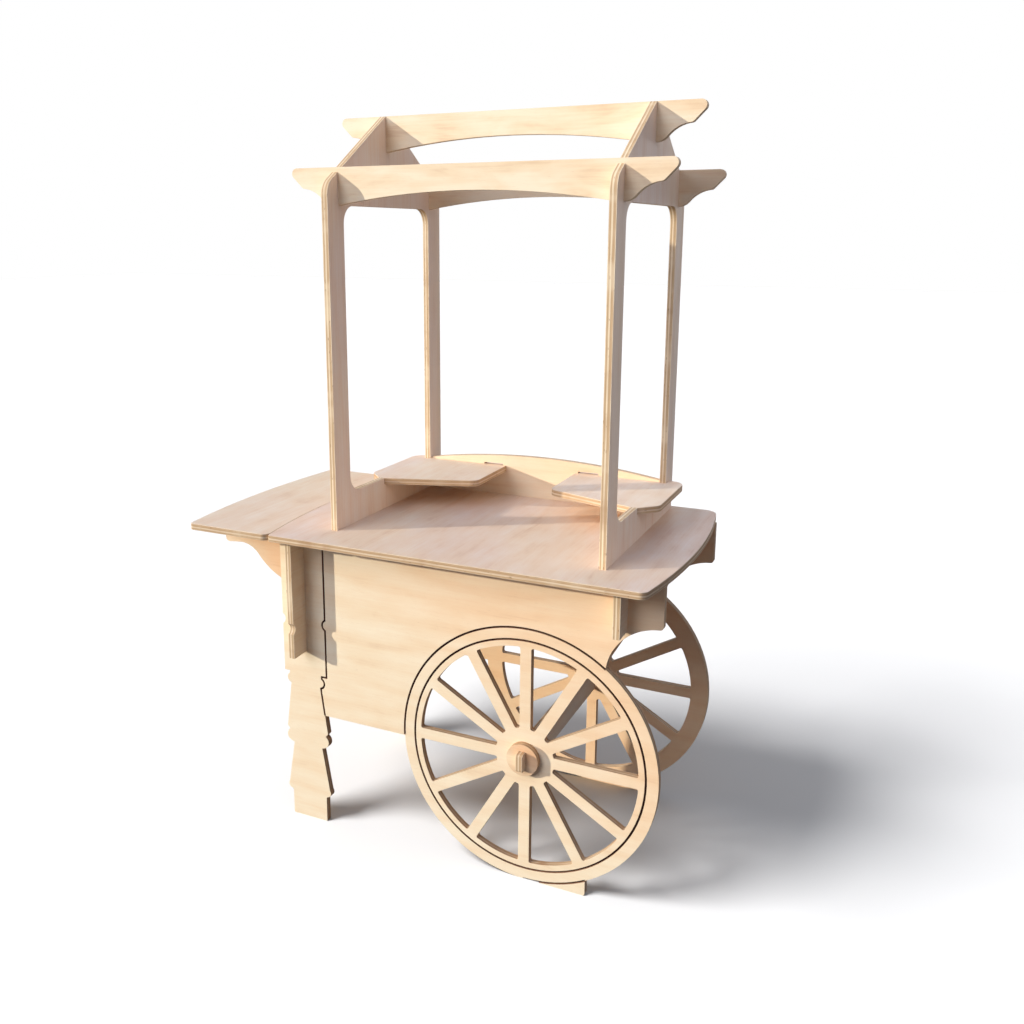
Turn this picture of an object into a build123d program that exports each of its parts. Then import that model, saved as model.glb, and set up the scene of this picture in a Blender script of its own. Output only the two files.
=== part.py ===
from build123d import *
from math import cos, radians, sin, sqrt, tan
import os

# A candy cart of flat plywood boards that slot together without metal fittings.
# The origin is on the floor, under the middle of the cart's overall box. X runs along the cart with the
# wheels towards +X, Y runs from the serving front to the back, and Z is up. All sizes are millimetres.

# Sheet, fits and engraving
ply = 18.0                      # thickness of every board
slot_play = 0.25                # gap on each side of a board in its slot
cutter_radius = 3.0             # radius left by the cutter in the corners of the hub slots
groove_width = 5.5              # engraved outlines on the outer faces of the side panels
groove_depth = 5.0
tab_lead = 8.0                  # corner rounding of a tab, so that it finds its slot
edge_ease = 1.2                 # sanded edges of the boards that lie flat

# Wheel cut into each side panel
wheel_radius = 350.0
rim_width = 50.0
rim_line_inset = 32.0           # from the rim's edge in to the engraved ring
hub_radius = 80.0
spoke_count = 12
spoke_width = 30.0
spoke_corner_radius = 5.0
wheel_foot_length = 170.0       # flat foot beside the wheel's lowest point, which stops any rolling
wheel_foot_overlap = 15.0       # how far the foot's top corner lies inside the rim
wheel_foot_corner = 6.0         # rounding of its far lower corner

# Side panel
body_width = 560.0              # between the outer faces of the two side panels
rim_to_top = 170.0              # from the wheel's highest point up to the table top
panel_bottom_drop = 18.0        # the panel's lower edge, below the wheel's centre
corbel_tail = 87.0              # panel end beyond the right end panel
corbel_height = 115.0           # straight part of that end
corbel_radius = 138.0           # hollow curve from there to the rim
corbel_corner_radius = 8.0

# Turned outline of the leg, half widths and heights, from the floor upwards
foot_half_width = 57.0
foot_corner = 4.0
foot_height = 74.0
ankle_step_height = 3.0
ankle_foot_half_width = 60.0
ankle_half_width = 72.0
ankle_height = 21.0
lower_taper_half_width = 69.5
lower_taper_height = 129.0
waist_half_width = 47.5
collar_step_height = 4.0
collar_foot_half_width = 59.0
collar_half_width = 70.0
collar_height = 35.0
notch_half_width = 60.5
notch_height = 10.0
upper_taper_half_width = 68.5
upper_taper_height = 136.0
neck_half_width = 50.0
bead_half_width = 62.0
bead_height = 29.0
reed_half_width = 54.0
reed_height = 7.0
leg_half_width = 70.0           # square part above
leg_cove_rise = 155.0           # from the lower end of the square part up to its round cove
leg_cove_half = 15.0
leg_cove_depth = 9.0

# End panels, which cross the side panels in half laps
left_end_offset = 121.0         # from the left frame out to the left end panel
right_end_offset = 52.0         # from the right frame out to the right end panel
wheel_inset = 249.0             # from the right end panel in to the wheel's centre
left_end_height = 352.0
right_end_height = 131.0
end_front_reach = 61.0          # beyond the front side panel
end_rear_reach = 46.0           # beyond the rear side panel

# Axle board and hub discs
axle_height = 86.0
axle_tenon_height = 48.0
axle_tenon_reach = 21.0         # tenon end beyond the disc
axle_tenon_corner = 7.0
disc_radius = 43.0

# Table top
top_end_reach = 169.5           # from a frame out to the middle of the curved end
top_front_overhang = 126.0
top_rear_overhang = 54.0
top_end_radius = 2000.0
top_front_right_corner = 20.0
top_rear_right_corner = 40.0
top_left_corner = 6.0

# Serving flap and its brackets
flap_reach = 252.0              # length of the flap, measured on the middle line
flap_rear_setback = 32.0        # the flap's rear edge, short of the top's
flap_end_radius = 2300.0
flap_seam = 1.0                 # gap between the flap and the top
flap_outer_corner = 12.0
flap_seam_corner = 20.0         # front corner beside the top
bracket_inset = 10.0            # from the side panel's inner face to the bracket
bracket_tip_inset = 3.0         # from the flap's curved edge in to the nose of the nearer bracket
bracket_nose_height = 76.0
bracket_nose_length = 36.0
bracket_nose_radius = 12.0
bracket_nose_droop = 5.0        # degrees
bracket_slope = 52.0            # degrees, steepest part of the curve
bracket_cove_radius = 75.0
bracket_tenon_drop = 40.0       # from the bracket's top edge down to its tenon
bracket_tenon_height = 60.0

# Upper stand
frame_spacing = 744.0           # between the middles of the two frames
frame_front_overhang = 15.0     # frame past the outer face of the front side panel
frame_rear_overhang = 31.0      # and past that of the rear one
stand_height = 1080.0           # from the table top to the ridge
eave_drop = 145.0               # from the ridge to the top of the eave beams
eave_inset = 58.5               # from the end of a frame in to the middle of the eave beam
eave_lip = 12.0                 # the frame's sloping edge below the top of the eave beam, in front of it
gable_corner_radius = 45.0
post_depth = 72.0
rail_height = 89.0
window_top_radius = 46.0
window_foot_radius = 45.0
frame_tab_length = 234.0
frame_tab_drop = 60.0           # tab end below the table top's underside

# Beams, half lapped into the frames
beam_height = 93.0              # at the frames
beam_rise = 31.0                # arch of the lower edge at mid span
lobe_radius = 36.0              # ogee ends: round lobe beside the frame
lobe_slope = 50.0               # degrees
cove_radius = 82.0              # then a hollow that flattens out
cove_slope = 5.0                # degrees
knuckle_radius = 12.0           # then a slant up to the nose
nose_slope = 45.0               # degrees
nose_radius = 13.4

# Shelves and back panel
shelf_start = 53.0              # front of the shelf's seat on the rail, before the middle of the frame
shelf_outside = 47.0            # beyond the frame's outer face
shelf_rear_reach = 34.0         # beyond the front face of the rear post
shelf_front_slant = 18.5        # degrees
shelf_gap = 220.0               # between the two shelves
shelf_inner_radius = 30.0
shelf_outer_radius = 30.0
shelf_rear_radius = 38.0
shelf_tab_length = 62.0
shelf_tab_inset = 9.0
shelf_slot_headroom = 5.0       # slot above the shelf, for tilting the tab in
back_inset = 8.0                # from the post's front face to the back panel
back_over_shelf = 4.0           # the back panel's ends above the shelves
back_rise = 30.0                # crown of the curved top edge
back_tab_length = 200.0

# Heights
hub_height = wheel_radius
panel_top = 2 * wheel_radius + rim_to_top
panel_bottom = hub_height - panel_bottom_drop
counter = panel_top + ply
ridge_top = counter + stand_height
eave_top = ridge_top - eave_drop
shelf_top = counter + rail_height
shelf_bottom = shelf_top - ply
back_end_height = rail_height + back_over_shelf

# Heights on the leg
ankle_foot = foot_height + ankle_step_height
ankle_top = ankle_foot + ankle_height
waist = ankle_top + lower_taper_height
collar_foot = waist + collar_step_height
collar_top = collar_foot + collar_height
upper_taper_foot = collar_top + notch_height
neck = upper_taper_foot + upper_taper_height
bead_top = neck + bead_height
leg_shoulder = bead_top + reed_height
leg_cove = leg_shoulder + leg_cove_rise

# Places along the cart
top_x = (flap_reach + flap_seam) / 2
top_half_length = frame_spacing / 2 + top_end_reach
left_frame_x = top_x - frame_spacing / 2
right_frame_x = top_x + frame_spacing / 2
left_end_x = left_frame_x - left_end_offset
right_end_x = right_frame_x + right_end_offset
leg_x = left_end_x
wheel_x = right_end_x - wheel_inset
panel_right_x = right_end_x + ply / 2 + corbel_tail
flap_left_x = top_x - top_half_length - flap_seam - flap_reach

# Places across the cart
top_depth = top_front_overhang + body_width + top_rear_overhang
front_y = -top_depth / 2 + top_front_overhang
rear_y = front_y + body_width
frame_half_depth = (frame_front_overhang + body_width + frame_rear_overhang) / 2
stand_y = front_y - frame_front_overhang + frame_half_depth
flap_rear_y = top_depth / 2 - flap_rear_setback
flap_y = (flap_rear_y - top_depth / 2) / 2
end_front_y = front_y - end_front_reach
end_rear_y = rear_y + end_rear_reach
window_half_depth = frame_half_depth - post_depth
eave_offset = frame_half_depth - eave_inset
back_front_y = stand_y + window_half_depth + back_inset
bracket_ys = (front_y + ply + bracket_inset + ply / 2, rear_y - ply - bracket_inset - ply / 2)

slot_width = ply + 2 * slot_play


def span(low_u, low_v, high_u, high_v):
    """Rectangle between two corners."""
    return Pos((low_u + high_u) / 2, (low_v + high_v) / 2) * Rectangle(high_u - low_u, high_v - low_v)


def corner(outline, u, v):
    """The corner of an outline that lies at, or nearest to, a point."""
    return outline.vertices().sort_by_distance((u, v))[0]


def mirrored(edges):
    """The same edges on the other side of the vertical axis."""
    return [edge.mirror(Plane.YZ) for edge in edges]


def arc_drop(radius, half_chord):
    """How far an arc falls back from its middle at the ends of its chord."""
    return radius - sqrt(radius ** 2 - half_chord ** 2)


def lying(outline, bottom_z):
    """Board lying flat, its outline in X and Y, with sanded edges."""
    board = extrude(Plane.XY.offset(bottom_z) * outline, ply)
    faces = board.faces().sort_by(Axis.Z)
    return fillet(faces[0].outer_wire().edges() + faces[-1].outer_wire().edges(), edge_ease)


def standing_along(outline, back_y, thickness=ply):
    """Board standing along the cart, its outline in X and Z and its rear face at back_y."""
    return extrude(Plane.XZ.offset(-back_y) * outline, thickness)


def standing_across(outline, middle_x):
    """Board standing across the cart, its outline in Y and Z."""
    return extrude(Plane.YZ.offset(middle_x - ply / 2) * outline, ply)


def tab(length, foot, head):
    """Tab about the middle line, rounded at its foot."""
    outline = span(-length / 2, foot, length / 2, head)
    return fillet([corner(outline, -length / 2, foot), corner(outline, length / 2, foot)], tab_lead)


# Side panels: body board, leg, wheel and wheel foot in one piece

def leg_profile(top_z):
    """One side of the turned leg as edges about the leg's own middle line, from top_z to the floor."""
    cove_top = leg_cove + leg_cove_half
    cove_foot = leg_cove - leg_cove_half
    return [
        Line((leg_half_width, top_z), (leg_half_width, cove_top)),
        ThreePointArc((leg_half_width, cove_top), (leg_half_width - leg_cove_depth, leg_cove),
                      (leg_half_width, cove_foot)),
        Polyline((leg_half_width, cove_foot), (leg_half_width, leg_shoulder),
                 (reed_half_width, leg_shoulder), (reed_half_width, bead_top)),
        ThreePointArc((reed_half_width, bead_top), (bead_half_width, (bead_top + neck) / 2),
                      (neck_half_width, neck)),
        Polyline((neck_half_width, neck), (upper_taper_half_width, upper_taper_foot),
                 (notch_half_width, collar_top)),
        ThreePointArc((notch_half_width, collar_top), (collar_half_width, (collar_top + collar_foot) / 2),
                      (collar_foot_half_width, collar_foot)),
        Polyline((collar_foot_half_width, collar_foot), (waist_half_width, waist),
                 (lower_taper_half_width, ankle_top)),
        ThreePointArc((lower_taper_half_width, ankle_top), (ankle_half_width, (ankle_top + ankle_foot) / 2),
                      (ankle_foot_half_width, ankle_foot)),
        Polyline((ankle_foot_half_width, ankle_foot), (foot_half_width, foot_height), (foot_half_width, 0)),
    ]


def leg_outline(top_z):
    """The whole leg, in its place on the side panel."""
    side = [edge for piece in leg_profile(top_z) for edge in piece.edges()]
    floor = Line((-foot_half_width, 0), (foot_half_width, 0))
    top = Line((-leg_half_width, top_z), (leg_half_width, top_z))
    outline = make_face(side + mirrored(side) + [floor.edge(), top.edge()])
    soles = [corner(outline, -foot_half_width, 0), corner(outline, foot_half_width, 0)]
    return Pos(leg_x, 0) * fillet(soles, foot_corner)


def body_outline():
    """Body board from the leg's middle to the corbel, running on into the wheel."""
    corbel_foot = panel_top - corbel_height
    hollow = JernArc((panel_right_x, corbel_foot), (-1, 0), corbel_radius, 90)
    board = make_face([
        *Polyline((leg_x, panel_top), (panel_right_x, panel_top), (panel_right_x, corbel_foot)).edges(),
        hollow.edge(),
        *Polyline(hollow @ 1, (wheel_x, hub_height), (wheel_x, panel_bottom), (leg_x, panel_bottom),
                  (leg_x, panel_top)).edges(),
    ])
    return fillet(corner(board, panel_right_x, corbel_foot), corbel_corner_radius)


def wheel_foot_outline():
    """Flat foot beside the wheel's lowest point."""
    rim_height = arc_drop(wheel_radius, wheel_foot_length)
    foot_end = wheel_x + wheel_foot_length
    outline = span(wheel_x, 0, foot_end, rim_height + wheel_foot_overlap)
    return fillet(corner(outline, foot_end, 0), wheel_foot_corner)


def spoke_openings():
    """Openings between the spokes, with rounded corners."""
    ring = Circle(wheel_radius - rim_width) - Circle(hub_radius)
    spoke = span(0, -spoke_width / 2, wheel_radius, spoke_width / 2)
    for turn in range(spoke_count):
        ring -= Rot(0, 0, turn * 360 / spoke_count) * spoke
    return Pos(wheel_x, hub_height) * fillet(ring.vertices(), spoke_corner_radius)


def hub_slot():
    """Slot for the axle tenon about the wheel's centre, with its corners cut out by the round cutter."""
    half_width = slot_width / 2
    half_height = axle_tenon_height / 2 + slot_play
    inset = cutter_radius / sqrt(2)
    slot = Rectangle(2 * half_width, 2 * half_height)
    for side in (-1, 1):
        for end in (-1, 1):
            slot += Pos(side * (half_width - inset), end * (half_height - inset)) * Circle(cutter_radius)
    return slot


def end_slot(middle_x, end_height):
    """Slot from the panel's top edge, down to half the height of an end panel."""
    return span(middle_x - slot_width / 2, panel_top - end_height / 2, middle_x + slot_width / 2,
                panel_top + ply)


def side_outline():
    """Outline of both side panels."""
    outline = body_outline() + leg_outline(panel_top) + wheel_foot_outline()
    outline += Pos(wheel_x, hub_height) * Circle(wheel_radius)
    outline -= spoke_openings()
    outline -= Pos(wheel_x, hub_height) * hub_slot()
    outline -= end_slot(left_end_x, left_end_height)
    outline -= end_slot(right_end_x, right_end_height)
    return outline


def ring_line(radius):
    """Engraved circle about the wheel's centre."""
    return Pos(wheel_x, hub_height) * (Circle(radius + groove_width / 2) - Circle(radius - groove_width / 2))


def engraved_lines():
    """Ring on the rim, the rim's edge where it crosses the panel and foot, and the leg's inner side."""
    rim_edge = ring_line(wheel_radius) & (body_outline() + wheel_foot_outline())
    leg = leg_outline(panel_top + ply)
    leg_line = offset(leg, groove_width / 2) - offset(leg, -groove_width / 2)
    leg_line &= span(leg_x, panel_bottom, leg_x + 2 * leg_half_width, panel_top)
    return ring_line(wheel_radius - rim_line_inset) + rim_edge + leg_line


def side_panel(panel_rear_y, groove_rear_y):
    """Side panel with its engraving on the outer face."""
    return standing_along(side_outline(), panel_rear_y) - standing_along(engraved_lines(), groove_rear_y,
                                                                         groove_depth)


# End panels, axle and hub discs

def end_outline(height):
    """Board across the cart, slotted from below over both side panels."""
    bottom = panel_top - height
    outline = span(end_front_y, bottom, end_rear_y, panel_top)
    for panel_y in (front_y + ply / 2, rear_y - ply / 2):
        outline -= span(panel_y - slot_width / 2, bottom - ply, panel_y + slot_width / 2, bottom + height / 2)
    return outline


def left_end_panel():
    """Left end panel, with the leg's cove in its ends and mortises for the flap brackets."""
    outline = end_outline(left_end_height)
    round_radius = (leg_cove_half ** 2 + leg_cove_depth ** 2) / (2 * leg_cove_depth)
    outside = round_radius - leg_cove_depth
    for round_y in (end_front_y - outside, end_rear_y + outside):
        outline -= Pos(round_y, leg_cove) * Circle(round_radius)
    tenon_top = panel_top - bracket_tenon_drop
    for bracket_y in bracket_ys:
        outline -= span(bracket_y - slot_width / 2, tenon_top - bracket_tenon_height - slot_play,
                        bracket_y + slot_width / 2, tenon_top + slot_play)
    return standing_across(outline, left_end_x)


def right_end_panel():
    """Right end panel."""
    return standing_across(end_outline(right_end_height), right_end_x)


def axle_board():
    """Board between the wheels, with a tenon through each hub and disc."""
    inner_front = front_y + ply
    inner_rear = rear_y - ply
    tenon_length = 2 * ply + axle_tenon_reach
    tenon = span(inner_front - tenon_length, hub_height - axle_tenon_height / 2,
                 inner_rear + tenon_length, hub_height + axle_tenon_height / 2)
    tenon = fillet(tenon.vertices(), axle_tenon_corner)
    web = span(inner_front, hub_height - axle_height / 2, inner_rear, hub_height + axle_height / 2)
    return standing_across(tenon + web, wheel_x)


def hub_disc(disc_rear_y):
    """Round plate that slips over the axle tenon."""
    return standing_along(Pos(wheel_x, hub_height) * (Circle(disc_radius) - hub_slot()), disc_rear_y)


# Table top, flap and brackets

def table_top():
    """Top with curved ends and slots for the tabs of the stand."""
    half_depth = top_depth / 2
    drop = arc_drop(top_end_radius, half_depth)
    corner_x = top_half_length - drop
    outline = make_face([
        Line((-corner_x, -half_depth), (corner_x, -half_depth)).edge(),
        ThreePointArc((corner_x, -half_depth), (top_half_length, 0), (corner_x, half_depth)).edge(),
        Line((corner_x, half_depth), (-corner_x, half_depth)).edge(),
        ThreePointArc((-corner_x, half_depth), (-top_half_length, 0), (-corner_x, -half_depth)).edge(),
    ])
    outline = fillet(corner(outline, corner_x, -half_depth), top_front_right_corner)
    outline = fillet(corner(outline, corner_x, half_depth), top_rear_right_corner)
    for corner_y in (-half_depth, half_depth):
        outline = fillet(corner(outline, -corner_x, corner_y), top_left_corner)
    outline = Pos(top_x, 0) * outline
    for frame_x in (left_frame_x, right_frame_x):
        outline -= Pos(frame_x, stand_y) * Rectangle(slot_width, frame_tab_length + 2 * slot_play)
    outline -= Pos(top_x, back_front_y + ply / 2) * Rectangle(back_tab_length + 2 * slot_play, slot_width)
    return lying(outline, panel_top)


def flap_edge_x(y):
    """The flap's outer curved edge at a place across the cart."""
    return flap_left_x + arc_drop(flap_end_radius, y - flap_y)


def seam_edge_x(y):
    """The flap's hollow edge beside the table top."""
    return top_x - top_half_length - flap_seam + arc_drop(top_end_radius + flap_seam, y)


def serving_flap():
    """Loose board at the left end, curved to follow the table top."""
    low_y = -top_depth / 2
    outline = make_face([
        Line((flap_edge_x(low_y), low_y), (seam_edge_x(low_y), low_y)).edge(),
        ThreePointArc((seam_edge_x(low_y), low_y), (seam_edge_x(flap_y), flap_y),
                      (seam_edge_x(flap_rear_y), flap_rear_y)).edge(),
        Line((seam_edge_x(flap_rear_y), flap_rear_y), (flap_edge_x(flap_rear_y), flap_rear_y)).edge(),
        ThreePointArc((flap_edge_x(flap_rear_y), flap_rear_y), (flap_edge_x(flap_y), flap_y),
                      (flap_edge_x(low_y), low_y)).edge(),
    ])
    outline = fillet(corner(outline, seam_edge_x(low_y), low_y), flap_seam_corner)
    for corner_y in (low_y, flap_rear_y):
        outline = fillet(corner(outline, flap_edge_x(corner_y), corner_y), flap_outer_corner)
    return lying(outline, panel_top)


def flap_bracket(middle_y):
    """Curved bracket under the flap, tenoned into the left end panel."""
    root_x = left_end_x - ply / 2
    tip_x = max(flap_edge_x(y) for y in bracket_ys) + bracket_tip_inset
    slope = radians(bracket_slope)
    droop = radians(bracket_nose_droop)
    straight_run = bracket_nose_length * cos(droop)
    nose_run = bracket_nose_radius * (1 + sin(droop))
    cove_run = bracket_cove_radius * (sin(slope) + sin(droop))
    lobe_run = root_x - tip_x - nose_run - straight_run - cove_run
    nose_start = (tip_x + nose_run, panel_top - bracket_nose_height)
    cove_start = (nose_start[0] + straight_run, nose_start[1] + bracket_nose_length * sin(droop))
    cove = JernArc(cove_start, (cos(droop), sin(droop)), bracket_cove_radius,
                   -(bracket_slope + bracket_nose_droop))
    lobe = JernArc(cove @ 1, cove % 1, lobe_run / sin(slope), bracket_slope)
    nose = JernArc(nose_start, (-cos(droop), -sin(droop)), bracket_nose_radius, -(90 + bracket_nose_droop))
    root_foot = lobe @ 1
    outline = make_face([
        nose.edge(), Line(nose_start, cove_start).edge(), cove.edge(), lobe.edge(),
        *Polyline(root_foot, (root_x, panel_top), (tip_x, panel_top), nose @ 1).edges(),
    ])
    tenon_top = panel_top - bracket_tenon_drop
    outline += span(root_x - ply, tenon_top - bracket_tenon_height, root_x + ply, tenon_top)
    return standing_along(outline, middle_y + ply / 2)


# Upper stand

def gable_height(offset_y):
    """Height of a frame's sloping top edge, at a distance from the middle."""
    slope = (eave_drop + eave_lip) / eave_offset
    return ridge_top - (offset_y - ply / 2) * slope


def beam_seat(offset_y, beam_top):
    """Slot in a frame, open upwards, half as deep as a beam."""
    return span(offset_y - slot_width / 2, beam_top - beam_height / 2, offset_y + slot_width / 2,
                ridge_top + ply)


def frame(middle_x):
    """Frame with two posts, a bottom rail, a gable and a tab that drops through the table top."""
    half = frame_half_depth
    shoulder = gable_height(half)
    outline = make_face(Polyline((-half, counter), (half, counter), (half, shoulder), (ply / 2, ridge_top),
                                 (-ply / 2, ridge_top), (-half, shoulder), (-half, counter)).edges())
    for corner_y in (-half, half):
        outline = fillet(corner(outline, corner_y, shoulder), gable_corner_radius)
    inner = window_half_depth
    window_top = eave_top - beam_height
    window = make_face(Polyline((-inner, shelf_top), (-shelf_start, shelf_top), (-shelf_start, shelf_bottom),
                                (inner, shelf_bottom), (inner, window_top), (-inner, window_top),
                                (-inner, shelf_top)).edges())
    for corner_y in (-inner, inner):
        window = fillet(corner(window, corner_y, window_top), window_top_radius)
    window = fillet(corner(window, -inner, shelf_top), window_foot_radius)
    outline -= window
    for offset_y, beam_top in ((-eave_offset, eave_top), (0, ridge_top), (eave_offset, eave_top)):
        outline -= beam_seat(offset_y, beam_top)
    outline += tab(frame_tab_length, panel_top - frame_tab_drop, counter + ply)
    return standing_across(Pos(stand_y, 0) * outline, middle_x)


def beam_end():
    """Ogee end of a beam, from the frame's outer face to the top edge, as edges about mid span."""
    frame_face = frame_spacing / 2 + ply / 2
    lobe = JernArc((frame_face, 0), (1, 0), lobe_radius, lobe_slope)
    cove = JernArc(lobe @ 1, lobe % 1, cove_radius, cove_slope - lobe_slope)
    knuckle = JernArc(cove @ 1, cove % 1, knuckle_radius, nose_slope - cove_slope)
    nose_height = nose_radius * (1 + cos(radians(nose_slope)))
    slant_end_z = beam_height - nose_height
    slant_start = knuckle @ 1
    slant_run = (slant_end_z - slant_start.Y) / tan(radians(nose_slope))
    slant = Line(slant_start, (slant_start.X + slant_run, slant_end_z))
    nose = JernArc(slant @ 1, slant % 1, nose_radius, 180 - nose_slope)
    return [piece.edge() for piece in (lobe, cove, knuckle, slant, nose)]


def beam(middle_y, beam_top):
    """Beam along the cart, arched between the frames and slotted from below over them."""
    inner = frame_spacing / 2 - ply / 2
    outer = frame_spacing / 2 + ply / 2
    end = beam_end()
    nose_top = end[-1] @ 1
    outline = make_face([
        *end, *mirrored(end),
        Line((-nose_top.X, beam_height), (nose_top.X, beam_height)).edge(),
        Line((-outer, 0), (-inner, 0)).edge(),
        ThreePointArc((-inner, 0), (0, beam_rise), (inner, 0)).edge(),
        Line((inner, 0), (outer, 0)).edge(),
    ])
    for frame_side in (-1, 1):
        seat_x = frame_side * frame_spacing / 2
        outline -= span(seat_x - slot_width / 2, -ply, seat_x + slot_width / 2, beam_height / 2)
    return standing_along(Pos(top_x, beam_top - beam_height) * outline, middle_y + ply / 2)


def shelf_outline():
    """Right shelf about the middle of its frame and of the body: out is +X, back is +Y."""
    outer = ply / 2 + shelf_outside
    inner = (shelf_gap - frame_spacing) / 2
    front = slot_play - shelf_start
    inner_front = front + (-ply / 2 - inner) * tan(radians(shelf_front_slant))
    outer_rear = window_half_depth + shelf_rear_reach
    inner_rear = window_half_depth + back_inset - slot_play
    notch_front = window_half_depth - slot_play
    plate = make_face(Polyline(
        (inner, inner_front), (-ply / 2, front), (ply / 2, front), (outer, front + shelf_outside),
        (outer, outer_rear), (slot_width / 2, outer_rear), (slot_width / 2, notch_front),
        (-slot_width / 2, notch_front), (-slot_width / 2, inner_rear), (inner, inner_rear),
        (inner, inner_front)).edges())
    plate = fillet(corner(plate, inner, inner_front), shelf_inner_radius)
    plate = fillet(corner(plate, outer, front + shelf_outside), shelf_outer_radius)
    plate = fillet(corner(plate, outer, outer_rear), shelf_rear_radius)
    tab_left = inner + shelf_tab_inset
    return plate + span(tab_left, inner_rear - ply, tab_left + shelf_tab_length,
                        window_half_depth + back_inset + ply)


def right_shelf():
    """Shelf on the rail of the right frame."""
    return lying(Pos(right_frame_x, stand_y) * shelf_outline(), shelf_bottom)


def left_shelf():
    """Shelf on the rail of the left frame, the mirror image of the right one."""
    return lying(Pos(left_frame_x, stand_y) * mirror(shelf_outline(), about=Plane.YZ), shelf_bottom)


def back_panel():
    """Low panel between the rear posts, with slots for the shelf tabs and a tab into the table top."""
    half_length = frame_spacing / 2 - slot_width / 2
    outline = make_face([
        *Polyline((-half_length, back_end_height), (-half_length, 0), (half_length, 0),
                  (half_length, back_end_height)).edges(),
        ThreePointArc((half_length, back_end_height), (0, back_end_height + back_rise),
                      (-half_length, back_end_height)).edge(),
    ])
    outline += tab(back_tab_length, -ply, ply)
    slot_near = shelf_gap / 2 + shelf_tab_inset - slot_play
    slot_far = slot_near + shelf_tab_length + 2 * slot_play
    slot_foot = rail_height - ply - slot_play
    slot_head = rail_height + shelf_slot_headroom
    for low_x, high_x in ((slot_near, slot_far), (-slot_far, -slot_near)):
        outline -= span(low_x, slot_foot, high_x, slot_head)
    return standing_along(Pos(top_x, counter) * outline, back_front_y + ply)


nodes = {
    "front_side_panel": side_panel(front_y + ply, front_y + groove_depth),
    "rear_side_panel": side_panel(rear_y, rear_y),
    "left_end_panel": left_end_panel(),
    "right_end_panel": right_end_panel(),
    "axle_board": axle_board(),
    "front_hub_disc": hub_disc(front_y),
    "rear_hub_disc": hub_disc(rear_y + ply),
    "table_top": table_top(),
    "serving_flap": serving_flap(),
    "front_flap_bracket": flap_bracket(bracket_ys[0]),
    "rear_flap_bracket": flap_bracket(bracket_ys[1]),
    "left_frame": frame(left_frame_x),
    "right_frame": frame(right_frame_x),
    "front_eave_beam": beam(stand_y - eave_offset, eave_top),
    "ridge_beam": beam(stand_y, ridge_top),
    "rear_eave_beam": beam(stand_y + eave_offset, eave_top),
    "left_shelf": left_shelf(),
    "right_shelf": right_shelf(),
    "back_panel": back_panel(),
}

os.makedirs("parts", exist_ok=True)
for name, solid in nodes.items():
    export_step(solid, f"parts/{name}.step")
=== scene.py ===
"""Looks of a flat-pack candy cart of bare plywood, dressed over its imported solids.

All lengths are metres, in the frame of the solids: X runs along the cart towards the wheels, Y from the serving
front to the back, and Z is up.
"""

from __future__ import annotations

import logging
import math
from dataclasses import dataclass
from enum import Enum
from typing import Mapping, Sequence, Union

import bpy
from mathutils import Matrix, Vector

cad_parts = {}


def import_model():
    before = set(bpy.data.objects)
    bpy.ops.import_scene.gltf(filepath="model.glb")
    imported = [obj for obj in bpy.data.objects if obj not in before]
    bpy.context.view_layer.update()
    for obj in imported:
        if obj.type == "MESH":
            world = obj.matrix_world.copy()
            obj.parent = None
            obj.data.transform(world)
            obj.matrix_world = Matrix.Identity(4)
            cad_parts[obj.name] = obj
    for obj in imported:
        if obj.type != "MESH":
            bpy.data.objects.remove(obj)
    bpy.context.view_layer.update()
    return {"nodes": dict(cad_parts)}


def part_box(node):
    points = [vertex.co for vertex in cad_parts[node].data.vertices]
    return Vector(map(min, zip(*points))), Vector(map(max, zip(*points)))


LOG = logging.getLogger("candy_cart")

Colour = tuple[float, float, float, float]
Number = Union[float, int]

WHITE: Colour = (1.0, 1.0, 1.0, 1.0)
NOISE_MEAN = 0.5
HALF = 0.5
LEVEL_VIEW = 90.0

SCREEN_TOP = 255
CURVE_KNEE = 0.04045
CURVE_SLOPE = 12.92
CURVE_LIFT = 0.055
CURVE_POWER = 2.4


def linear(level: int) -> float:
    """Linear light of one screen value, by the usual curve of a screen."""
    share = level / SCREEN_TOP
    if share <= CURVE_KNEE:
        return share / CURVE_SLOPE
    return ((share + CURVE_LIFT) / (1 + CURVE_LIFT)) ** CURVE_POWER


def tint(red: int, green: int, blue: int) -> Colour:
    """Gives the linear colour of a tint that is named by its screen values.

    Args:
        red: Red on the screen, from 0 to 255.
        green: Green on the screen.
        blue: Blue on the screen.

    Returns:
        The colour for a shader, with full alpha.
    """
    return linear(red), linear(green), linear(blue), 1.0


class Along(Enum):
    """Directions of the cart, as places in a vector."""

    LENGTH = 0
    DEPTH = 1
    HEIGHT = 2


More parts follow.
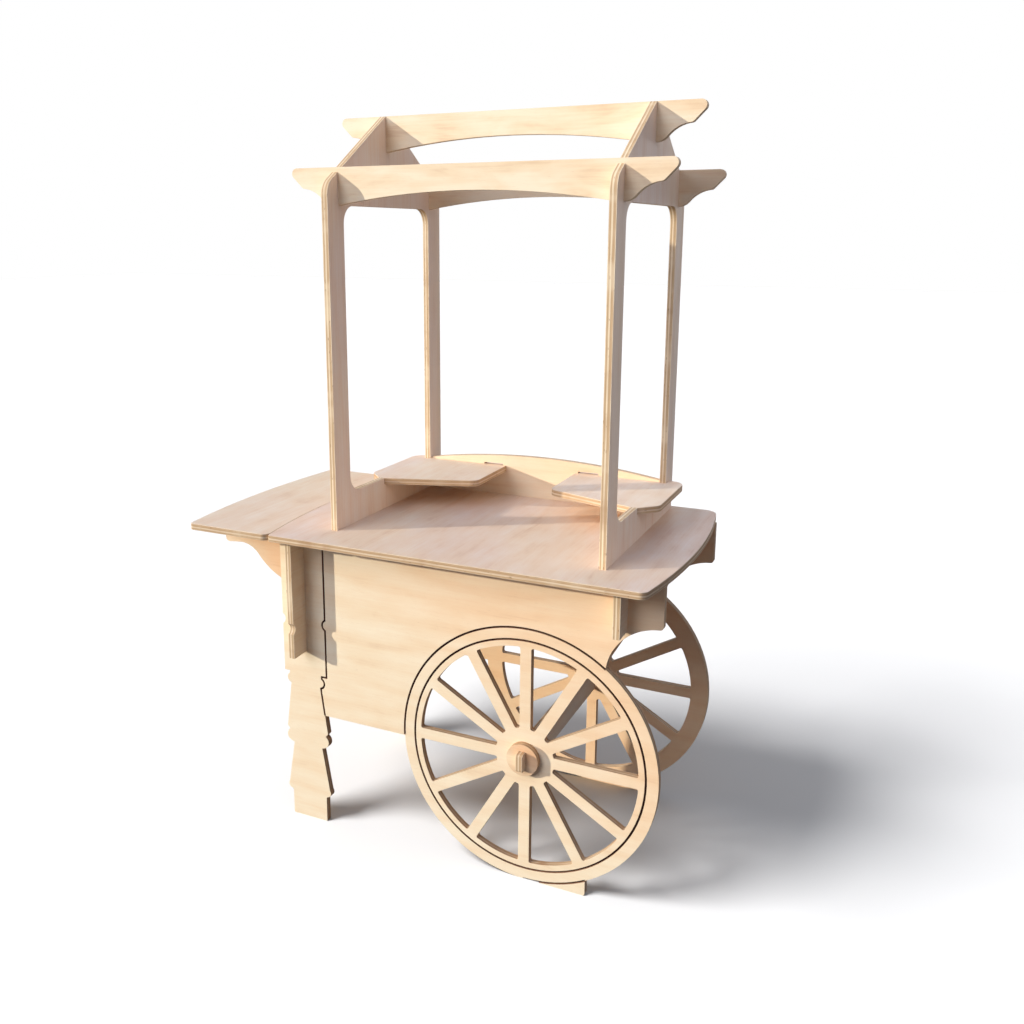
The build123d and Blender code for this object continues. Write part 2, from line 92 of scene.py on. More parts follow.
class Value:
    """A number that changes over a surface, whose arithmetic adds Math nodes."""

    def __init__(self, tree: ShaderTree, socket: bpy.types.NodeSocket) -> None:
        """Wraps an output socket of a tree."""
        self.tree = tree
        self.socket = socket

    def __add__(self, other: Operand) -> Value:
        """Sum."""
        return self.tree.math("ADD", self, other)

    def __radd__(self, other: Operand) -> Value:
        """Sum with a plain number first."""
        return self.tree.math("ADD", other, self)

    def __sub__(self, other: Operand) -> Value:
        """Difference."""
        return self.tree.math("SUBTRACT", self, other)

    def __rsub__(self, other: Operand) -> Value:
        """Difference from a plain number."""
        return self.tree.math("SUBTRACT", other, self)

    def __mul__(self, other: Operand) -> Value:
        """Product."""
        return self.tree.math("MULTIPLY", self, other)

    def __rmul__(self, other: Operand) -> Value:
        """Product with a plain number first."""
        return self.tree.math("MULTIPLY", other, self)

    def __truediv__(self, other: Operand) -> Value:
        """Quotient."""
        return self.tree.math("DIVIDE", self, other)

    def __pow__(self, other: Operand) -> Value:
        """Power."""
        return self.tree.math("POWER", self, other)

    def __abs__(self) -> Value:
        """Size without sign."""
        return self.tree.math("ABSOLUTE", self)


Operand = Union[Value, Number]
Feed = Union[Value, bpy.types.NodeSocket, Number, Sequence[float]]


class ShaderTree:
    """The nodes of one material or world."""

    MIX_SHARE = 0
    MIX_FIRST = 6
    MIX_SECOND = 7
    MIX_COLOUR = 2

    def __init__(self, nodes: bpy.types.NodeTree) -> None:
        """Empties a node tree, ready for new nodes."""
        self.nodes = nodes
        self.nodes.nodes.clear()

    def node(self, kind: str, settings: Mapping[str, object] | None = None,
             feeds: Mapping[str | int, Feed] | None = None) -> bpy.types.Node:
        """Adds a node of any type.

        Args:
            kind: The node's type.
            settings: Its own settings, set first. "stops" gives a ramp's places and colours.
            feeds: A value, or a link, for each socket by name or number.

        Returns:
            The new node.
        """
        made = self.nodes.nodes.new(kind)
        for name, setting in (settings or {}).items():
            if name == "stops":
                self._set_stops(made.color_ramp, setting)
            else:
                setattr(made, name, setting)
        for name, feed in (feeds or {}).items():
            socket = feed.socket if isinstance(feed, Value) else feed
            if isinstance(socket, bpy.types.NodeSocket):
                self.nodes.links.new(socket, made.inputs[name])
            else:
                made.inputs[name].default_value = socket
        return made

    @staticmethod
    def _set_stops(ramp: bpy.types.ColorRamp, stops: Sequence[tuple[float, Colour]]) -> None:
        """Gives a ramp its places and colours."""
        while len(ramp.elements) < len(stops):
            ramp.elements.new(1.0)
        for element, (place, colour) in zip(ramp.elements, stops):
            element.position = place
            element.color = colour

    def math(self, operation: str, *feeds: Operand) -> Value:
        """Adds one Math node."""
        made = self.node("ShaderNodeMath", {"operation": operation}, dict(enumerate(feeds)))
        return Value(self, made.outputs[0])

    def step(self, value: Value, low: float, high: float) -> Value:
        """Rises softly from 0 at low to 1 at high, or falls where low is the higher number."""
        made = self.node("ShaderNodeMapRange", {"interpolation_type": "SMOOTHSTEP"},
                         {"Value": value, "From Min": low, "From Max": high})
        return Value(self, made.outputs[0])

    def vector(self, x: Operand, y: Operand, z: Operand) -> bpy.types.NodeSocket:
        """Joins three numbers into a vector."""
        return self.node("ShaderNodeCombineXYZ", None, {"X": x, "Y": y, "Z": z}).outputs[0]

    def split(self, vector: bpy.types.NodeSocket) -> tuple[Value, Value, Value]:
        """Parts a vector into its three numbers."""
        made = self.node("ShaderNodeSeparateXYZ", None, {"Vector": vector})
        return Value(self, made.outputs[0]), Value(self, made.outputs[1]), Value(self, made.outputs[2])

    def noise(self, place: bpy.types.NodeSocket, detail: float, rough: float, swirl: float) -> Value:
        """Smooth noise, about 0.5 on average, at a place that is already scaled."""
        made = self.node("ShaderNodeTexNoise", None, {"Vector": place, "Scale": 1.0, "Detail": detail,
                                                      "Roughness": rough, "Distortion": swirl})
        return Value(self, made.outputs[0])

    def blend(self, share: Operand, first: Feed, second: Feed, how: str = "MIX") -> bpy.types.NodeSocket:
        """Mixes two colours.

        Args:
            share: How much of the second colour, from 0 to 1.
            first: The first colour.
            second: The second colour.
            how: Blender's blend type.

        Returns:
            The colour socket.
        """
        made = self.node("ShaderNodeMix", {"data_type": "RGBA", "blend_type": how},
                         {self.MIX_SHARE: share, self.MIX_FIRST: first, self.MIX_SECOND: second})
        return made.outputs[self.MIX_COLOUR]

    def ramp(self, value: Value, stops: Sequence[tuple[float, Colour]]) -> bpy.types.NodeSocket:
        """Turns a number into a colour."""
        return self.node("ShaderNodeValToRGB", {"stops": stops}, {0: value}).outputs[0]


@dataclass(frozen=True)
class Figure:
    """How strongly each kind of marking shows in a veneer."""

    bands: float
    flames: float
    fibres: float
    mottle: float


FLOWING = Figure(bands=0.22, flames=0.66, fibres=0.42, mottle=0.66)
CURLY = Figure(bands=0.26, flames=1.60, fibres=0.60, mottle=0.90)
STRAIGHT = Figure(bands=0.14, flames=0.30, fibres=1.00, mottle=0.50)
CLOUDED = Figure(bands=0.10, flames=0.80, fibres=0.60, mottle=1.10)


@dataclass(frozen=True)
class Board:
    """One board of the cart: how it lies, how its veneer was cut and how brown its edges are, a brown that is
    partly painted shade.
    """

    node: str
    thickness: Along
    grain: Along
    seed: float
    figure: Figure
    # Rosy tint: partly the board's own tone, partly painted cool sky light, so it is strong on the table, flap,
    # shelves and frames
    rosy_and_sky_cast: float = 0.35
    tone: float = 0.0
    # Ripening towards the far upper corner: the board's own warmer veneer, and on the rear panel also painted
    # warm bounce light
    heart_and_bounce: float = 0.15
    # Brown over whole edges: partly real browning, partly painted shade on cut walls and rims that lie in shade
    scorch_and_shade: float = 0.0


@dataclass(frozen=True)
class BoardPlace:
    """Where a shaded point lies in its board, and the board's own seed."""

    length: Value
    width: Value
    layer: Value
    depth: Value
    corner: Value
    face: Value
    seed: float


@dataclass(frozen=True)
class Engraving:
    """Dark routed lines on the outer face of a side panel."""

    wheel_x: float
    wheel_z: float
    ring_radius: float
    rim_radius: float
    leg_x: float
    leg_line_near: float
    leg_line_far: float
    low_z: float
    high_z: float
    depth: float
    half_width: float
    outer_is_low: bool


@dataclass(frozen=True)
class Onset:
    """Where a marking starts to show, where it shows in full, and how strongly."""

    start: float
    full: float
    share: float = 1.0

    def scaled(self, size: float) -> Onset:
        """The same onset in units of another size."""
        return Onset(self.start * size, self.full * size, self.share)

    def of(self, value: Value) -> Value:
        """How strongly the marking shows, from 0 to the share."""
        shown = value.tree.step(value, self.start, self.full)
        return shown if self.share == 1.0 else shown * self.share


@dataclass(frozen=True)
class Marking:
    """One kind of marking in the wood: noise with so many repeats per metre each way."""

    along: float
    across: float
    through: float
    detail: float
    rough: float = 0.5
    swirl: float = 0.0
    shift: float = 0.0
    seeded: bool = True

    def at(self, tree: ShaderTree, spot: BoardPlace) -> Value:
        """Strength of the marking at a place, about 0.5 on average."""
        layer = self.through * spot.depth
        if self.seeded:
            layer = layer + spot.seed
        if self.shift:
            layer = layer + self.shift
        place = tree.vector(self.along * spot.length, self.across * spot.width, layer)
        return tree.noise(place, self.detail, self.rough, self.swirl)


@dataclass(frozen=True)
class FaceVeneer:
    """Pale rotary-cut veneer, sanded and bare, that ripens towards the far upper corner of its board; on the
    rear panel the strong ripening is partly painted warm bounce light between the side panels.
    """

    pale: Colour = tint(253, 236, 205)
    warm: Colour = tint(248, 223, 186)
    streak: Colour = tint(226, 190, 150)
    # Mauve tint: partly the plywood's own rosy tone, partly painted cool sky light on boards that face up or
    # stand in shade
    rosy_and_sky_cast: Colour = (0.89, 0.85, 1.0, 1.0)
    # Orange of the ripening, partly the veneer's own colour and partly painted warm bounce light on the rear
    # panel
    heart_and_bounce: Colour = (1.0, 0.82, 0.70, 1.0)
    pore: Colour = tint(190, 150, 115)
    sweep: Marking = Marking(along=1.1, across=4.0, through=31.0, detail=2.0, rough=0.45)
    waver: Marking = Marking(along=3.6, across=12.0, through=31.0, detail=2.0)
    fibre: Marking = Marking(along=5.0, across=190.0, through=31.0, detail=3.0, rough=0.6, swirl=0.15)
    flame: Marking = Marking(along=5.5, across=26.0, through=31.0, detail=3.0, swirl=0.8)
    mottle: Marking = Marking(along=9.0, across=15.0, through=31.0, detail=3.0, rough=0.55, shift=3.0)
    cloud: Marking = Marking(along=1.6, across=3.0, through=31.0, detail=2.0, shift=7.0)
    pores: Marking = Marking(along=55.0, across=1300.0, through=31.0, detail=1.0)
    rings: float = 13.0
    ring_sweep: float = 4.2
    ring_waver: float = 0.6
    late_power: float = 2.0
    late_mean: float = 0.4
    ground_tone: float = 0.34
    flush_least: float = 0.70
    flush: Onset = Onset(0.40, 0.66, share=0.50)
    heart_start: float = 0.66
    heart_spread: float = 0.40
    heart_fade: float = 0.38
    heart_sway: float = 0.30
    pits: Onset = Onset(0.66, 0.78, share=0.25)
    ring_relief: float = 0.5
    pit_relief: float = 0.8

    def colour(self, tree: ShaderTree, board: Board, spot: BoardPlace) -> tuple[bpy.types.NodeSocket, Value]:
        """Colour and relief of the veneer.

        Args:
            tree: The material's nodes.
            board: The board.
            spot: Where the point lies.

        Returns:
            The colour socket and the height of the grain, from 0 to 1.
        """
        sweep = self.sweep.at(tree, spot)
        waver = self.waver.at(tree, spot)
        rings = self.rings * spot.width + self.ring_sweep * sweep + self.ring_waver * waver
        wave = HALF + HALF * tree.math("SINE", 2 * math.pi * rings)
        late = wave ** self.late_power
        fibre = self.fibre.at(tree, spot)
        flame = self.flame.at(tree, spot)
        mottle = self.mottle.at(tree, spot)
        kind = board.figure
        bands = kind.bands * (late - self.late_mean)
        marks = bands + kind.flames * (flame - NOISE_MEAN) + kind.fibres * (fibre - NOISE_MEAN)
        figure = marks + kind.mottle * (mottle - NOISE_MEAN) + board.tone + self.ground_tone
        ground = tree.ramp(figure, [(0.0, self.pale), (0.5, self.warm), (1.0, self.streak)])
        # Rosy tint, partly the board's own tone and partly painted cool sky light
        flush = board.rosy_and_sky_cast * (self.flush_least + self.flush.of(self.cloud.at(tree, spot)))
        flushed = tree.blend(flush, ground, self.rosy_and_sky_cast, "MULTIPLY")
        # Warmer towards the far upper corner; on the rear panel this is partly painted warm bounce light
        reach = self.heart_start - self.heart_spread * board.heart_and_bounce
        drift = tree.step(spot.corner + self.heart_sway * (sweep - NOISE_MEAN), reach, reach + self.heart_fade)
        ripe_and_bounce = tree.math("MINIMUM", board.heart_and_bounce * drift, 1.0)
        warmed = tree.blend(ripe_and_bounce, flushed, self.heart_and_bounce, "MULTIPLY")
        pitted = self.pits.of(self.pores.at(tree, spot))
        relief = self.ring_relief * late + fibre - self.pit_relief * pitted
        return tree.blend(pitted, warmed, self.pore), relief


@dataclass(frozen=True)
class SawnEdge:
    """Layered edge of the sheet, with wandering plies, browned patches and dark gaps in the glue; the board's
    scorch browns whole edges, partly real browning and partly painted shade on cut walls that lie in shade.
    """

    light: Colour = tint(248, 229, 196)
    middle: Colour = tint(222, 191, 152)
    dark: Colour = tint(190, 155, 117)
    glue: Colour = tint(150, 114, 82)
    # Brown of the edges, partly real browning and partly painted shade
    burn_and_shade: Colour = tint(172, 130, 92)
    wander: Marking = Marking(along=6.0, across=6.0, through=20.0, detail=2.0, seeded=False)
    wander_share: float = 0.10
    streaks: Marking = Marking(along=9.0, across=9.0, through=500.0, detail=2.0, seeded=False)
    patches: Marking = Marking(along=9.0, across=9.0, through=0.0, detail=3.0, rough=0.6)
    gaps: Marking = Marking(along=60.0, across=60.0, through=420.0, detail=1.0)
    streaked: Onset = Onset(0.44, 0.70, share=0.55)
    paled: Onset = Onset(0.48, 0.30, share=0.45)
    browned_and_shaded: Onset = Onset(0.56, 0.74, share=0.40)
    gaping: Onset = Onset(0.71, 0.76, share=0.80)

    def layers(self) -> list[tuple[float, Colour]]:
        """Colours of the plies, from one face to the other."""
        return [
            (0.000, self.light), (0.060, self.light),
            (0.110, self.middle), (0.210, self.dark),
            (0.300, self.middle), (0.400, self.light),
            (0.500, self.light), (0.570, self.middle),
            (0.670, self.dark), (0.770, self.middle),
            (0.870, self.dark), (0.920, self.light),
            (1.000, self.light),
        ]

    def colour(self, tree: ShaderTree, board: Board, spot: BoardPlace) -> bpy.types.NodeSocket:
        """Colour of the sawn edge with its plies.

        Args:
            tree: The material's nodes.
            board: The board.
            spot: Where the point lies.

        Returns:
            The colour socket.
        """
        wander = self.wander.at(tree, spot) - NOISE_MEAN
        plies = tree.ramp(spot.layer + self.wander_share * wander, self.layers())
        patches = self.patches.at(tree, spot)
        toned = tree.blend(self.streaked.of(self.streaks.at(tree, spot)), plies, self.dark)
        paled = tree.blend(self.paled.of(patches), toned, self.light)
        # Random patches are real browning; the board's scorch adds painted shade to whole edges, most on the
        # hub discs and side panels
        browned_and_shaded = tree.blend(self.browned_and_shaded.of(patches) + board.scorch_and_shade, paled, self.burn_and_shade)
        return tree.blend(self.gaping.of(self.gaps.at(tree, spot)), browned_and_shaded, self.glue)


@dataclass(frozen=True)
class RoutedLine:
    """Dark routed lines. Their onsets are in depths of the line, and their reaches in half widths."""

    floor: Colour = tint(56, 33, 26)
    wall: Colour = tint(150, 106, 78)
    roughness: float = 0.2
    floor_start: Onset = Onset(0.2, 0.4)
    floor_end: Onset = Onset(2.2, 1.8)
    wall_end: Onset = Onset(1.15, 1.05)
    wall_reach: float = 1.6
    rim_gap: float = 0.6

    def masks(self, tree: ShaderTree, spot: BoardPlace, lines: Engraving,
              thickness: float) -> tuple[Value, Value]:
        """Masks of the routed lines.

        Args:
            tree: The material's nodes.
            spot: Where the point lies.
            lines: The lines on this panel.
            thickness: The panel's thickness.

        Returns:
            1 on the floors of the lines, and 1 on their walls.
        """
        x, _, z = tree.split(tree.node("ShaderNodeTexCoord").outputs["Object"])
        sunk = spot.depth if lines.outer_is_low else thickness - spot.depth
        floor = spot.face * self.floor_start.scaled(lines.depth).of(sunk)
        floor = floor * self.floor_end.scaled(lines.depth).of(sunk)
        near = self.wall_end.scaled(lines.depth).of(sunk)
        reach = self.wall_reach * lines.half_width
        radius = tree.math("SQRT", (x - lines.wheel_x) ** 2 + (z - lines.wheel_z) ** 2)
        ring = tree.math("LESS_THAN", abs(radius - lines.ring_radius), reach)
        from_rim = abs(radius - lines.rim_radius)
        rim = tree.math("LESS_THAN", from_rim, reach)
        rim = rim * tree.math("GREATER_THAN", from_rim, self.rim_gap * lines.half_width)
        beside = x - lines.leg_x
        leg = tree.math("GREATER_THAN", beside, lines.leg_line_near)
        leg = leg * tree.math("LESS_THAN", beside, lines.leg_line_far)
        leg = leg * tree.math("GREATER_THAN", z, lines.low_z) * tree.math("LESS_THAN", z, lines.high_z)
        wall = (1 - spot.face) * near * tree.math("MAXIMUM", tree.math("MAXIMUM", ring, rim), leg)
        return floor, wall


@dataclass(frozen=True)
class Plywood:
    """Bare sanded plywood: face veneers, layered edges and the routed lines of the side panels."""

    veneer: FaceVeneer = FaceVeneer()
    edge: SawnEdge = SawnEdge()
    routed: RoutedLine = RoutedLine()
    facing: Onset = Onset(0.60, 0.85)
    seed_across: float = 0.37
    corner_along: float = 0.55
    corner_across: float = 0.45
    edge_roughness: float = 0.74
    face_smoothness: float = 0.14
    grain_roughness: float = 0.10
    grain_mean: float = 0.6
    bump_strength: float = 0.10
    bump_distance: float = 0.0006
    specular: float = 0.3
    bevel: float = 0.0010
    bevel_samples: int = 4

    def place(self, tree: ShaderTree, board: Board) -> BoardPlace:
        """Works out where a shaded point lies in its board.

        Args:
            tree: The material's nodes.
            board: The board.

        Returns:
            The places along and across the veneer, in metres, the share of the thickness, the same in metres,
            how far the point lies towards the board's far upper corner, 1 on the faces but 0 on the edges, and
            the board's seed.
        """
        coordinates = tree.node("ShaderNodeTexCoord")
        parts = tree.split(coordinates.outputs["Object"])
        normals = tree.split(coordinates.outputs["Normal"])
        low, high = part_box(board.node)
        through = board.thickness.value
        along = board.grain.value
        across = sum(way.value for way in Along) - through - along
        shares = [(part - start) / (end - start) for part, start, end in zip(parts, low, high)]
        return BoardPlace(
            length=parts[along] + board.seed,
            width=parts[across] + self.seed_across * board.seed,
            layer=shares[through],
            depth=parts[through] - low[through],
            corner=self.corner_along * shares[along] + self.corner_across * shares[across],
            face=self.facing.of(abs(normals[through])),
            seed=board.seed,
        )

    def dress(self, board: Board, lines: Engraving | None = None) -> None:
        """Gives a board its material.

        Args:
            board: The board.
            lines: Its engraving, where it has one.
        """
        material = bpy.data.materials.new(f"plywood_{board.node}")
        material.use_nodes = True
        tree = ShaderTree(material.node_tree)
        spot = self.place(tree, board)
        face_colour, grain = self.veneer.colour(tree, board, spot)
        colour = tree.blend(spot.face, self.edge.colour(tree, board, spot), face_colour)
        roughness = self.edge_roughness - self.face_smoothness * spot.face
        roughness = roughness + self.grain_roughness * (grain - self.grain_mean)
        if lines is not None:
            low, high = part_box(board.node)
            through = board.thickness.value
            floor, wall = self.routed.masks(tree, spot, lines, high[through] - low[through])
            colour = tree.blend(wall, tree.blend(floor, colour, self.routed.floor), self.routed.wall)
            roughness = roughness + self.routed.roughness * floor
        rounded = tree.node("ShaderNodeBevel", {"samples": self.bevel_samples}, {"Radius": self.bevel})
        bump = tree.node("ShaderNodeBump", None, {
            "Strength": self.bump_strength, "Distance": self.bump_distance, "Height": grain * spot.face,
            "Normal": rounded.outputs[0]})
        surface = tree.node("ShaderNodeBsdfPrincipled", None, {
            "Base Color": colour, "Roughness": roughness, "Specular IOR Level": self.specular,
            "Normal": bump.outputs[0]})
        tree.node("ShaderNodeOutputMaterial", None, {"Surface": surface.outputs[0]})
        piece = bpy.data.objects[board.node]
        piece.data.materials.clear()
        piece.data.materials.append(material)
        LOG.info("%s: plywood, grain along %s", board.node, board.grain.name.lower())


@dataclass(frozen=True)
class Undercarriage:
    """Side panels with their legs and fixed wheels, and the boards between them."""

    wheel_radius: float = 0.350
    rim_line_inset: float = 0.032
    groove_width: float = 0.0055
    groove_depth: float = 0.005
    leg_line_near: float = 0.040
    leg_line_far: float = 0.085
    line_margin: float = 0.0015
    body_low: float = 0.332
    front: Board = Board("front_side_panel", Along.DEPTH, Along.LENGTH, seed=1.7, figure=FLOWING,
                         rosy_and_sky_cast=0.04, tone=-0.04, heart_and_bounce=0.62, scorch_and_shade=0.50)
    # The rear panel's strong ripening is partly painted warm bounce light between the two side panels
    rear: Board = Board("rear_side_panel", Along.DEPTH, Along.LENGTH, seed=6.1, figure=FLOWING,
                        rosy_and_sky_cast=0.02, tone=-0.05, heart_and_bounce=1.3, scorch_and_shade=0.50)
    ties: tuple[Board, ...] = (
        Board("left_end_panel", Along.LENGTH, Along.DEPTH, seed=3.3, figure=STRAIGHT),
        Board("right_end_panel", Along.LENGTH, Along.DEPTH, seed=8.9, figure=STRAIGHT),
        Board("axle_board", Along.LENGTH, Along.DEPTH, seed=12.4, figure=STRAIGHT, scorch_and_shade=0.25),
        # The hub discs' dark edges are mostly painted shade on their rims
        Board("front_hub_disc", Along.DEPTH, Along.LENGTH, seed=14.2, figure=FLOWING,
              rosy_and_sky_cast=0.10, tone=0.36, heart_and_bounce=0.9, scorch_and_shade=0.60),
        Board("rear_hub_disc", Along.DEPTH, Along.LENGTH, seed=17.6, figure=FLOWING,
              rosy_and_sky_cast=0.10, tone=0.36, heart_and_bounce=0.9, scorch_and_shade=0.60),
    )

    def engraving(self, board: Board, outer_is_low: bool) -> Engraving:
        """The routed lines of one side panel.

        Args:
            board: The panel.
            outer_is_low: Whether its outer face is the one towards the front.

        Returns:
            The lines.
        """
        disc_low, disc_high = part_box("front_hub_disc")
        leg_low, leg_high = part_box("left_end_panel")
        return Engraving(
            wheel_x=(disc_low.x + disc_high.x) / 2,
            wheel_z=(disc_low.z + disc_high.z) / 2,
            ring_radius=self.wheel_radius - self.rim_line_inset,
            rim_radius=self.wheel_radius,
            leg_x=(leg_low.x + leg_high.x) / 2,
            leg_line_near=self.leg_line_near,
            leg_line_far=self.leg_line_far,
            low_z=self.body_low + self.line_margin,
            high_z=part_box(board.node)[1].z - self.line_margin,
            depth=self.groove_depth,
            half_width=self.groove_width / 2,
            outer_is_low=outer_is_low,
        )

    def dress(self, finish: Plywood) -> None:
        """Dresses every board below the counter."""
        finish.dress(self.front, self.engraving(self.front, True))
        finish.dress(self.rear, self.engraving(self.rear, False))
        for board in self.ties:
            finish.dress(board)


@dataclass(frozen=True)
class Counter:
    """Table top, loose flap and the brackets under it."""

    boards: tuple[Board, ...] = (
        Board("table_top", Along.HEIGHT, Along.DEPTH, seed=21.3, figure=CLOUDED,
              rosy_and_sky_cast=0.85, tone=0.05, scorch_and_shade=0.22),
        Board("serving_flap", Along.HEIGHT, Along.DEPTH, seed=24.8, figure=CLOUDED,
              rosy_and_sky_cast=0.5, tone=-0.05, heart_and_bounce=0.4, scorch_and_shade=0.25),
        Board("front_flap_bracket", Along.DEPTH, Along.LENGTH, seed=27.5, figure=FLOWING,
              rosy_and_sky_cast=0.05, tone=0.1, heart_and_bounce=1.1),
        Board("rear_flap_bracket", Along.DEPTH, Along.LENGTH, seed=29.1, figure=FLOWING,
              rosy_and_sky_cast=0.05, tone=0.1, heart_and_bounce=1.1),
    )

    def dress(self, finish: Plywood) -> None:
        """Dresses the boards of the counter."""
        for board in self.boards:
            finish.dress(board)


@dataclass(frozen=True)
class UpperStand:
    """Gabled frames, beams, shelves and back panel."""

    boards: tuple[Board, ...] = (
        Board("left_frame", Along.LENGTH, Along.HEIGHT, seed=33.2, figure=STRAIGHT, rosy_and_sky_cast=0.7),
        Board("right_frame", Along.LENGTH, Along.HEIGHT, seed=36.7, figure=STRAIGHT, rosy_and_sky_cast=0.7),
        Board("front_eave_beam", Along.DEPTH, Along.LENGTH, seed=39.4, figure=CURLY, rosy_and_sky_cast=0.05),
        Board("ridge_beam", Along.DEPTH, Along.LENGTH, seed=42.9, figure=CURLY, rosy_and_sky_cast=0.05),
        Board("rear_eave_beam", Along.DEPTH, Along.LENGTH, seed=45.3, figure=CURLY, rosy_and_sky_cast=0.3),
        Board("left_shelf", Along.HEIGHT, Along.DEPTH, seed=48.8, figure=CLOUDED, rosy_and_sky_cast=0.7, scorch_and_shade=0.42),
        Board("right_shelf", Along.HEIGHT, Along.DEPTH, seed=51.5, figure=CLOUDED, rosy_and_sky_cast=0.7, scorch_and_shade=0.30),
        Board("back_panel", Along.DEPTH, Along.LENGTH, seed=54.6, figure=FLOWING,
              rosy_and_sky_cast=0.15, tone=0.10, heart_and_bounce=0.5),
    )

    def dress(self, finish: Plywood) -> None:
        """Dresses the boards above the counter."""
        for board in self.boards:
            finish.dress(board)


@dataclass(frozen=True)
class Lamp:
    """A far lamp, by the way that its light travels.

    The heading turns from the cart's back towards its wheels, and the fall is the way down, both in degrees.
    """

    name: str
    heading: float
    fall: float
    strength: float
    softness: float
    colour: tuple[float, float, float]

    def hang(self, lit: Sequence[bpy.types.Object]) -> None:
        """Adds the lamp, for some objects alone.

        Args:
            lit: The objects that it lights.
        """
        light = bpy.data.lights.new(self.name, "SUN")
        light.energy = self.strength
        light.angle = math.radians(self.softness)
        light.color = self.colour
        holder = bpy.data.objects.new(self.name, light)
        bpy.context.scene.collection.objects.link(holder)
        heading, fall = math.radians(self.heading), math.radians(self.fall)
        way = Vector((math.sin(heading) * math.cos(fall), math.cos(heading) * math.cos(fall), -math.sin(fall)))
        holder.rotation_euler = way.to_track_quat("-Z", "Y").to_euler()
        group = bpy.data.collections.new(f"{self.name}_lit")
        for item in lit:
            group.objects.link(item)
        holder.light_linking.receiver_collection = group
        LOG.info("lamp %s", self.name)


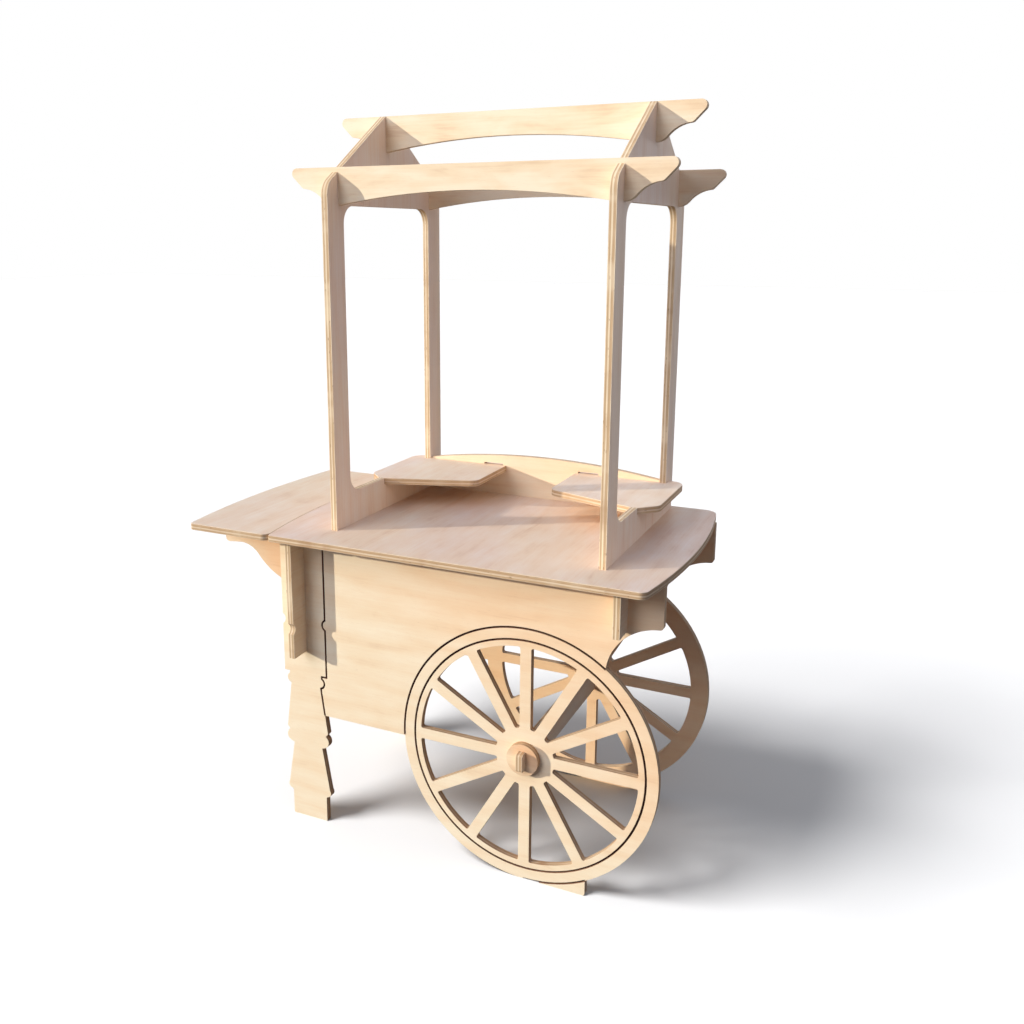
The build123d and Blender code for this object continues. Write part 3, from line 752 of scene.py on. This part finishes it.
@dataclass(frozen=True)
class Studio:
    """Pale floor, plain light and the camera."""

    floor_size: float = 60.0
    floor_seen: Colour = (0.64, 0.609, 0.519, 1.0)
    floor_bounce: Colour = (0.03, 0.028, 0.026, 1.0)
    sky_low: Colour = (0.78, 0.75, 1.0, 1.0)
    sky_high: Colour = (0.65, 0.75, 1.0, 1.0)
    sky_low_strength: float = 0.21
    sky_high_strength: float = 0.505
    sky_rise: Onset = Onset(0.40, 0.80)
    white_strength: float = 1.0
    key: Lamp = Lamp("key", heading=58.0, fall=12.8, strength=3.25, softness=0.9, colour=(1.0, 0.96, 0.85))
    glow: Lamp = Lamp("glow", heading=28.0, fall=30.0, strength=1.51, softness=36.0, colour=(0.893, 0.912, 1.0))
    back_fill: Lamp = Lamp("back_fill", heading=180.0, fall=8.0, strength=0.9, softness=40.0,
                           colour=(0.96, 0.97, 1.0))
    rear_key: Lamp = Lamp("rear_key", heading=58.0, fall=12.8, strength=1.1, softness=0.9,
                          colour=(1.0, 0.96, 0.85))
    stand_fill: Lamp = Lamp("stand_fill", heading=278.0, fall=32.0, strength=0.44, softness=60.0,
                            colour=(0.90, 0.90, 1.0))
    floor_lamp: Lamp = Lamp("floor_lamp", heading=45.0, fall=50.0, strength=6.05, softness=24.0,
                            colour=(0.82, 0.855, 1.0))
    floor_fill: Lamp = Lamp("floor_fill", heading=0.0, fall=89.0, strength=0.70, softness=120.0,
                            colour=(0.82, 0.855, 1.0))
    camera_place: tuple[float, float, float] = (1.1753, -2.4055, 1.6590)
    camera_turn: float = 25.36
    camera_dip: float = 12.31
    lens: float = 35.04
    sensor: float = 36.0
    shift: tuple[float, float] = (0.0397, -0.0590)

    @staticmethod
    def seen(tree: ShaderTree) -> Value:
        """Mask of what the camera sees, also in gloss and glass."""
        path = tree.node("ShaderNodeLightPath")
        names = ("Is Camera Ray", "Is Glossy Ray", "Is Transmission Ray")
        camera, gloss, glass = (Value(tree, path.outputs[name]) for name in names)
        return tree.math("MAXIMUM", tree.math("MAXIMUM", camera, gloss), glass)

    def lay_floor(self) -> bpy.types.Object:
        """Adds the floor.

        Returns:
            The floor.
        """
        bpy.ops.object.select_all(action="DESELECT")
        bpy.ops.mesh.primitive_plane_add(size=self.floor_size)
        floor = bpy.context.active_object
        floor.name = "studio_floor"
        material = bpy.data.materials.new("studio_floor")
        material.use_nodes = True
        tree = ShaderTree(material.node_tree)
        bounce = tree.node("ShaderNodeBsdfDiffuse", None, {"Color": self.floor_bounce})
        shown = tree.node("ShaderNodeBsdfDiffuse", None, {"Color": self.floor_seen})
        both = tree.node("ShaderNodeMixShader", None,
                         {0: self.seen(tree), 1: bounce.outputs[0], 2: shown.outputs[0]})
        tree.node("ShaderNodeOutputMaterial", None, {"Surface": both.outputs[0]})
        floor.data.materials.append(material)
        LOG.info("studio floor")
        return floor

    def fill_sky(self) -> None:
        """Lights the scene from all round, and shows white behind it."""
        world = bpy.data.worlds.new("studio_sky")
        bpy.context.scene.world = world
        world.use_nodes = True
        tree = ShaderTree(world.node_tree)
        low = tree.node("ShaderNodeBackground", None,
                        {"Color": self.sky_low, "Strength": self.sky_low_strength})
        high = tree.node("ShaderNodeBackground", None,
                         {"Color": self.sky_high, "Strength": self.sky_high_strength})
        _, _, height = tree.split(tree.node("ShaderNodeTexCoord").outputs["Generated"])
        fill = tree.node("ShaderNodeMixShader", None,
                         {0: self.sky_rise.of(height), 1: low.outputs[0], 2: high.outputs[0]})
        white = tree.node("ShaderNodeBackground", None, {"Color": WHITE, "Strength": self.white_strength})
        both = tree.node("ShaderNodeMixShader", None,
                         {0: self.seen(tree), 1: fill.outputs[0], 2: white.outputs[0]})
        tree.node("ShaderNodeOutputWorld", None, {"Surface": both.outputs[0]})

    def stand_camera(self) -> None:
        """Adds the camera at the photograph's place."""
        camera = bpy.data.cameras.new("camera")
        camera.sensor_width = self.sensor
        camera.sensor_fit = "HORIZONTAL"
        camera.lens = self.lens
        camera.shift_x, camera.shift_y = self.shift
        holder = bpy.data.objects.new("camera", camera)
        holder.location = self.camera_place
        tilt = math.radians(LEVEL_VIEW - self.camera_dip)
        holder.rotation_euler = (tilt, 0.0, math.radians(self.camera_turn))
        bpy.context.scene.collection.objects.link(holder)
        bpy.context.scene.camera = holder

    def build(self, boards: Sequence[bpy.types.Object], rear_panel: bpy.types.Object,
              stand: Sequence[bpy.types.Object]) -> None:
        """Sets up floor, light, camera and view.

        Args:
            boards: All the cart's boards, for the key, the glow and the back fill.
            rear_panel: The rear side panel, which gets more of the key.
            stand: The boards of the upper stand, which get a fill of their own.
        """
        floor = self.lay_floor()
        self.fill_sky()
        for lamp in (self.key, self.glow, self.back_fill):
            lamp.hang(boards)
        self.rear_key.hang([rear_panel])
        self.stand_fill.hang(stand)
        for lamp in (self.floor_lamp, self.floor_fill):
            lamp.hang([floor])
        self.stand_camera()
        bpy.context.scene.view_settings.view_transform = "Standard"


def main() -> None:
    """Loads the solids, dresses them and sets up the studio."""
    logging.basicConfig(level=logging.INFO, format="%(name)s: %(message)s")
    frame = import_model()
    finish = Plywood()
    undercarriage, counter, stand = Undercarriage(), Counter(), UpperStand()
    for assembly in (undercarriage, counter, stand):
        assembly.dress(finish)
    Studio().build(
        boards=list(frame["nodes"].values()),
        rear_panel=bpy.data.objects[undercarriage.rear.node],
        stand=[bpy.data.objects[board.node] for board in stand.boards],
    )


if __name__ == "__main__":
    main()
